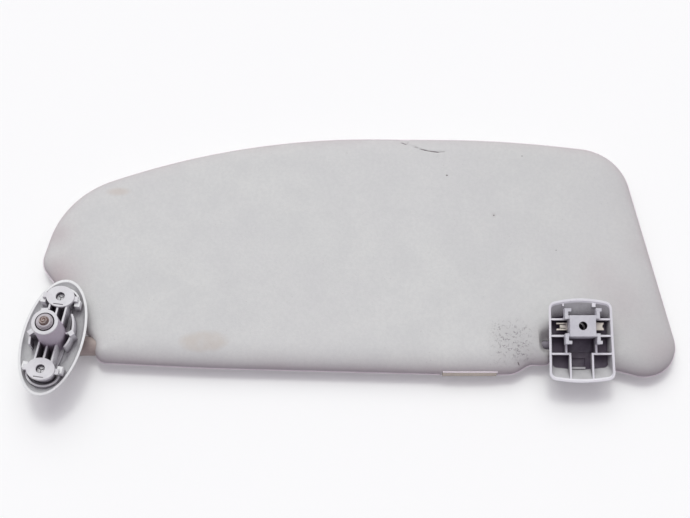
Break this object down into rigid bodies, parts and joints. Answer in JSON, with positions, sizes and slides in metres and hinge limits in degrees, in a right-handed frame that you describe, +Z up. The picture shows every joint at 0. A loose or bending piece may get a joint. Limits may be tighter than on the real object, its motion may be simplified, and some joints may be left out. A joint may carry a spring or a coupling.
{
  "type": "car sun visor",
  "caption": "Padded car sun visor that turns on a bent rod, with a ribbed oval roof mount and a ribbed swivelling catch on the pin at its other end.",
  "frame": {"origin": "on the swing axis, in the plane of the two bearing discs that seat against the roof", "axes": "+Z up to the roof, +X along the rod from the roof mount to the clip, +Y from the rod edge to the free edge"},
  "size_m": [0.4361, 0.201, 0.0539],
  "materials": {
    "cover_vinyl": "fine-grained soft vinyl",
    "mount_plastic": "satin moulded",
    "bezel_plastic": "satin moulded",
    "cap_plastic": "satin moulded",
    "bush_plastic": "satin moulded",
    "elbow_plastic": "satin moulded",
    "rod_steel": "drawn, rusty end",
    "spring_steel": "plain",
    "shell_plastic": "moulded",
    "housing_plastic": "moulded",
    "pin_plastic": "satin moulded",
    "insert_plastic": "satin moulded"
  },
  "bodies": {
    "mount": {"mount_bracket": "mount_plastic", "mount_bezel": "bezel_plastic", "screw_caps": "cap_plastic", "pivot_bush": "bush_plastic"},
    "arm": {"pivot_rod": "rod_steel", "elbow_cover": "elbow_plastic", "spring_washer": "spring_steel", "rod_retainer": "bush_plastic"},
    "panel": {"upper_cover": "cover_vinyl", "lower_cover": "cover_vinyl", "upper_shell": "shell_plastic", "lower_shell": "shell_plastic", "rod_housing": "housing_plastic", "housing_cap": "housing_plastic", "housing_screws": "spring_steel", "friction_clip": "spring_steel", "end_pin": "pin_plastic", "seam_insert": "insert_plastic"},
    "clip": {"clip_cover": "bezel_plastic", "clip_body": "mount_plastic", "clip_spring": "insert_plastic"}
  },
  "joints": [
    {"name": "swing", "type": "hinge", "parent": "mount", "child": "arm", "pos_m": [0, 0, 0], "axis": [0, 0, 1], "range_deg": [0, 100]},
    {"name": "flip", "type": "hinge", "parent": "arm", "child": "panel", "pos_m": [0, 0, -0.0255], "axis": [-1, 0, 0], "range_deg": [0, 150]},
    {"name": "clip_turn", "type": "hinge", "parent": "panel", "child": "clip", "pos_m": [0.3485, 0, -0.0255], "axis": [1, 0, 0], "range_deg": [-15, 0]}
  ]
}
